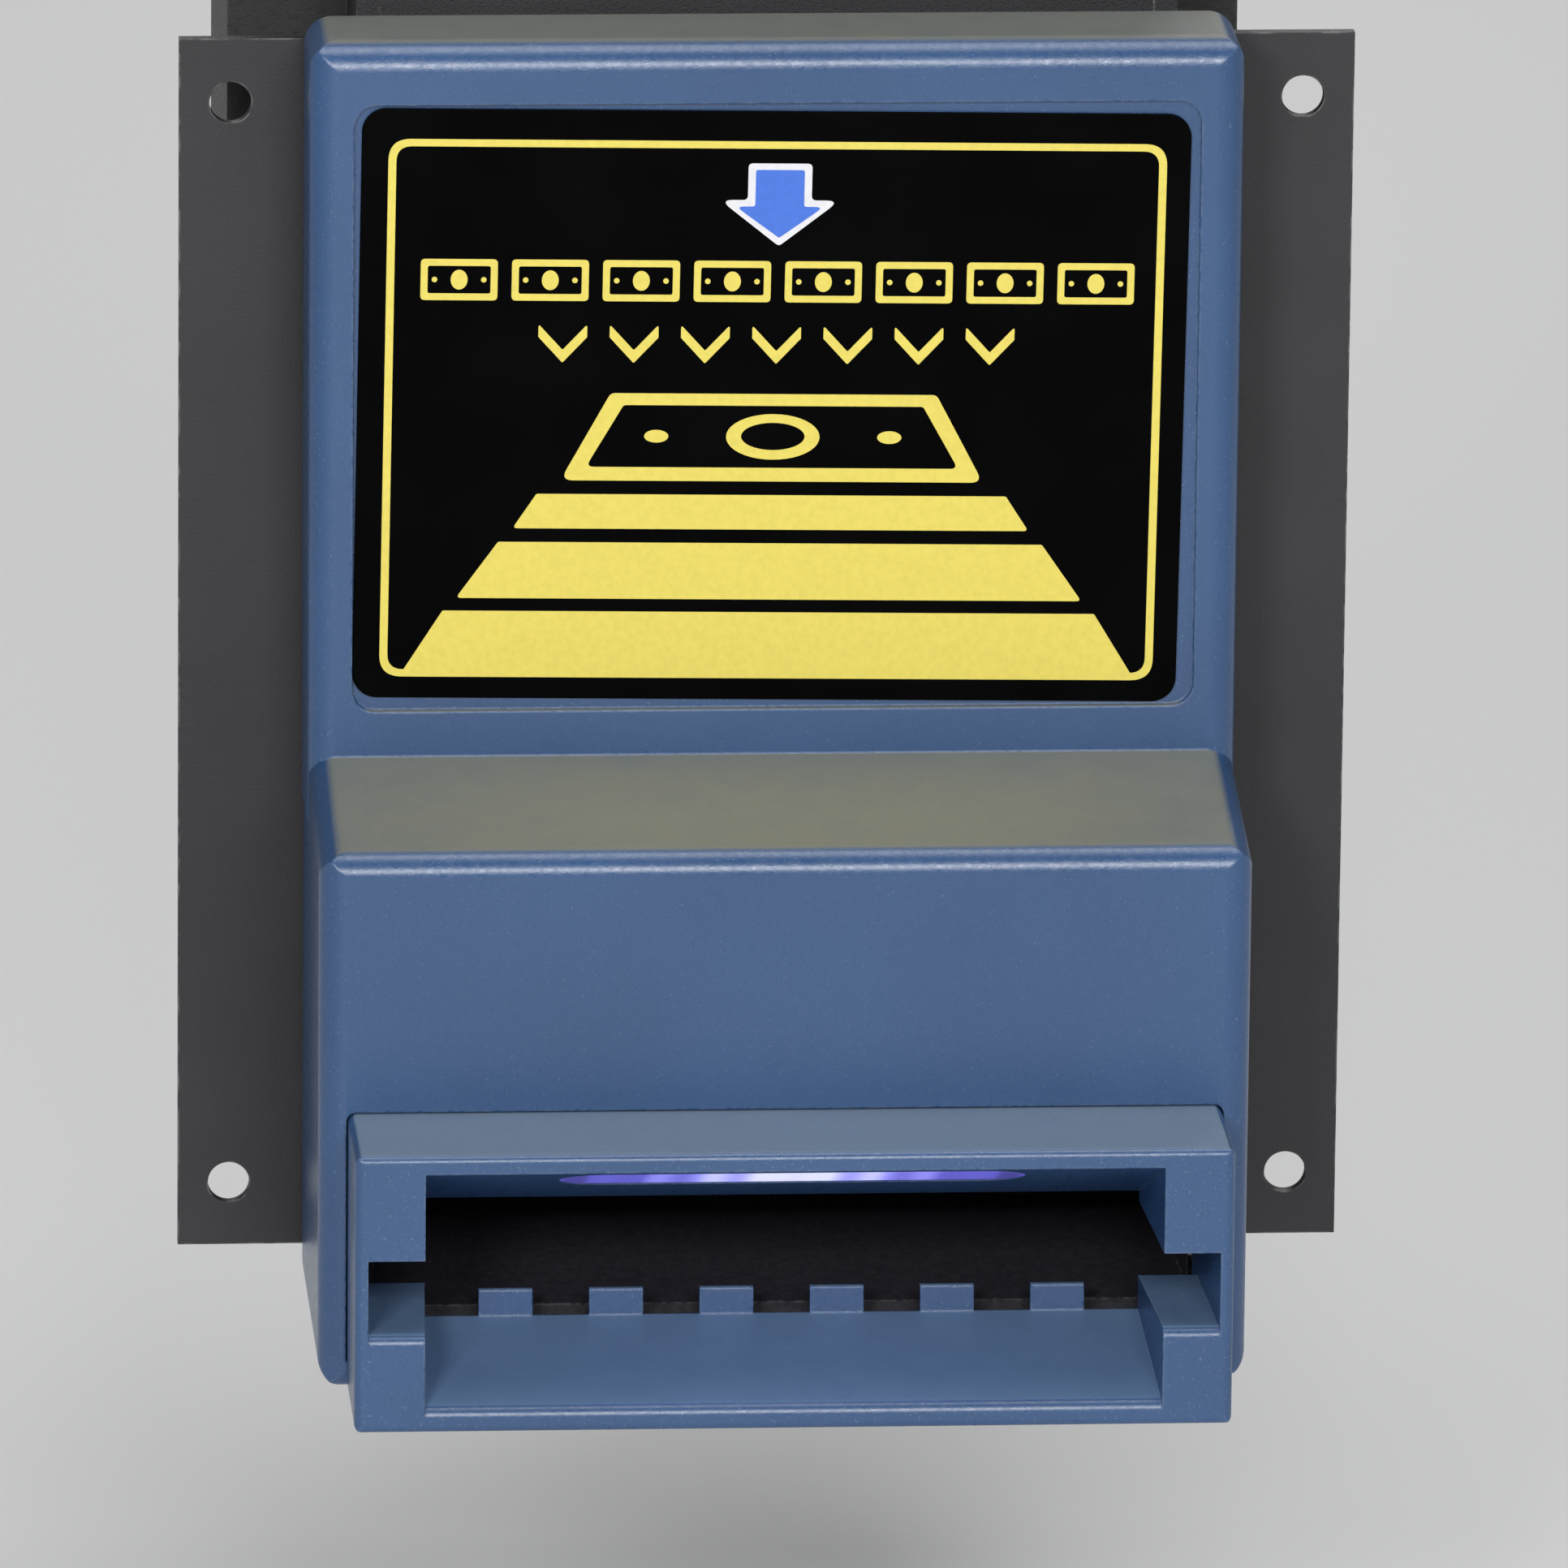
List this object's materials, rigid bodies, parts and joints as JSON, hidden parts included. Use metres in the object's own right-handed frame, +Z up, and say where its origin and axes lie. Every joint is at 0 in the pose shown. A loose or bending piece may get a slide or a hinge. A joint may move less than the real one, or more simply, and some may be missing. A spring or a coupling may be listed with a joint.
{
  "type": "bill validator",
  "caption": "Door-mounted bill validator: blue bezel mask with a lit note inlet, belt transport, geared stacker and a lidded cash box.",
  "frame": {"origin": "centre of the four mounting holes, on the front face of the mounting ears that rests against the back of the door", "axes": "-Y is the front, where notes go in; +X is to the right and +Z is up"},
  "size_m": [0.126, 0.171, 0.2368],
  "materials": {
    "mask_plastic": "fine moulded grain",
    "release_plastic": "moulded",
    "label_black": "satin film",
    "light_guide": "frosted, lit from behind",
    "sensor_window": "tinted clear",
    "board": "solder mask",
    "board_parts": "moulded packages",
    "black_plastic": "moulded",
    "black_steel": "fine powder coat",
    "bright_steel": "bright",
    "roller_rubber": "ground",
    "belt_rubber": "matte",
    "acetal": "natural",
    "brass_parts": "turned",
    "motor_can": "drawn can",
    "grey_plastic": "moulded",
    "box_plastic": "fine moulded grain"
  },
  "bodies": {
    "chassis": {"bezel_mask": "mask_plastic", "label_plate": "label_black", "inlet_snout": "mask_plastic", "light_guide": "light_guide", "inlet_led_board": "board", "inlet_throat": "black_plastic", "mounting_ears": "black_steel", "left_side_plate": "black_steel", "right_side_plate": "black_steel", "front_wall": "black_steel", "tie_rods": "bright_steel", "top_cover": "black_steel", "chassis_screws": "bright_steel", "upper_note_guide": "black_plastic", "upper_sensor_board": "board", "upper_sensor_windows": "sensor_window", "magnetic_head": "bright_steel", "turn_guide": "black_plastic", "door_hinge_pin": "bright_steel", "encoder_sensor": "board_parts", "transport_belts": "belt_rubber", "stacker_belts": "belt_rubber", "transport_motor": "motor_can", "shaft_bushes": "brass_parts", "stacker_frame": "grey_plastic", "stacker_motor": "motor_can", "gear_cover": "black_plastic", "cash_box": "box_plastic", "lid_hinge_pin": "bright_steel", "pressure_springs": "bright_steel", "main_board": "board", "board_components": "board_parts", "harness_socket": "acetal", "board_cover": "black_plastic"},
    "rear_shaft": {"rear_drive_shaft": "bright_steel", "rear_pulleys": "acetal", "drive_gear": "acetal"},
    "front_shaft": {"front_pulley_shaft": "bright_steel", "front_pulleys": "acetal"},
    "top_shaft": {"top_pulley_shaft": "bright_steel", "top_pulleys": "acetal", "encoder_disc": "black_plastic"},
    "idler_gear": {"compound_gear": "acetal"},
    "motor_pinion": {"transport_pinion": "brass_parts"},
    "door": {"note_path_door": "black_plastic", "lower_sensor_board": "board", "lower_sensor_windows": "sensor_window", "door_release_spring": "bright_steel"},
    "release": {"door_release_slide": "release_plastic"},
    "front_rollers": {"front_pinch_rollers": "roller_rubber"},
    "rear_rollers": {"rear_pinch_rollers": "roller_rubber"},
    "pusher": {"pusher_plate": "grey_plastic", "pusher_racks": "acetal", "guide_rods": "bright_steel"},
    "stacker_shaft": {"pinion_shaft": "acetal", "stacker_gear": "acetal"},
    "stacker_motor_pinion": {"stacker_pinion": "brass_parts"},
    "note_plate": {"pressure_plate": "grey_plastic"},
    "lid": {"cash_box_lid": "box_plastic"},
    "switch_lever": {"mode_switch_lever": "acetal"}
  },
  "joints": [
    {"name": "transport_drive", "type": "hinge", "parent": "chassis", "child": "rear_shaft", "pos_m": [0, 0.052, -0.0428], "axis": [1, 0, 0], "continuous": true},
    {"name": "front_shaft_spin", "type": "hinge", "parent": "chassis", "child": "front_shaft", "pos_m": [0, 0.012, -0.0488], "axis": [1, 0, 0], "continuous": true},
    {"name": "top_shaft_spin", "type": "hinge", "parent": "chassis", "child": "top_shaft", "pos_m": [0, 0.058, 0.14], "axis": [1, 0, 0], "continuous": true},
    {"name": "idler_spin", "type": "hinge", "parent": "chassis", "child": "idler_gear", "pos_m": [0, 0.03797, -0.0347], "axis": [1, 0, 0], "continuous": true},
    {"name": "motor_pinion_spin", "type": "hinge", "parent": "chassis", "child": "motor_pinion", "pos_m": [0, 0.02779, -0.02452], "axis": [1, 0, 0], "continuous": true},
    {"name": "front_roller_spin", "type": "hinge", "parent": "door", "child": "front_rollers", "pos_m": [0, 0.012, -0.0606], "axis": [1, 0, 0], "continuous": true},
    {"name": "rear_roller_spin", "type": "hinge", "parent": "door", "child": "rear_rollers", "pos_m": [0, 0.044, -0.0606], "axis": [1, 0, 0], "continuous": true},
    {"name": "path_door_hinge", "type": "hinge", "parent": "chassis", "child": "door", "pos_m": [0, 0.056, -0.066], "axis": [1, 0, 0], "range_deg": [0, 40]},
    {"name": "door_release", "type": "slide", "parent": "door", "child": "release", "axis": [0, 1, 0], "range_m": [0, 0.003], "stiffness_N_per_m": 300, "springref_m": -0.001, "deforming": ["door_release_spring"]},
    {"name": "pusher_slide", "type": "slide", "parent": "chassis", "child": "pusher", "axis": [0, 1, 0], "range_m": [0, 0.026]},
    {"name": "stacker_shaft_spin", "type": "hinge", "parent": "chassis", "child": "stacker_shaft", "pos_m": [0, 0.038, 0.075], "axis": [-1, 0, 0], "range_deg": [0, 248.6]},
    {"name": "stacker_pinion_spin", "type": "hinge", "parent": "chassis", "child": "stacker_motor_pinion", "pos_m": [0, 0.02697, 0.06397], "axis": [1, 0, 0], "range_deg": [0, 828.5]},
    {"name": "note_plate_slide", "type": "slide", "parent": "chassis", "child": "note_plate", "axis": [0, 1, 0], "range_m": [0, 0.01717], "deforming": ["pressure_springs"]},
    {"name": "lid_hinge", "type": "hinge", "parent": "chassis", "child": "lid", "pos_m": [0, 0.11, 0.1612], "axis": [-1, 0, 0], "range_deg": [0, 100]},
    {"name": "mode_switch", "type": "slide", "parent": "chassis", "child": "switch_lever", "axis": [0, 0, 1], "range_m": [0, 0.005]}
  ],
  "couplings": [
    {"joint": "front_shaft_spin", "follows": "transport_drive", "ratio": 2},
    {"joint": "top_shaft_spin", "follows": "transport_drive", "ratio": 2},
    {"joint": "idler_spin", "follows": "transport_drive", "ratio": -2.8571},
    {"joint": "motor_pinion_spin", "follows": "transport_drive", "ratio": 8.5714},
    {"joint": "front_roller_spin", "follows": "transport_drive", "ratio": -2.3077},
    {"joint": "rear_roller_spin", "follows": "transport_drive", "ratio": -2.3077},
    {"joint": "stacker_shaft_spin", "follows": "pusher_slide", "rad_per_m": 166.67},
    {"joint": "stacker_pinion_spin", "follows": "pusher_slide", "rad_per_m": 555.56},
    {"joint": "note_plate_slide", "follows": "pusher_slide", "ratio": 0.66}
  ]
}
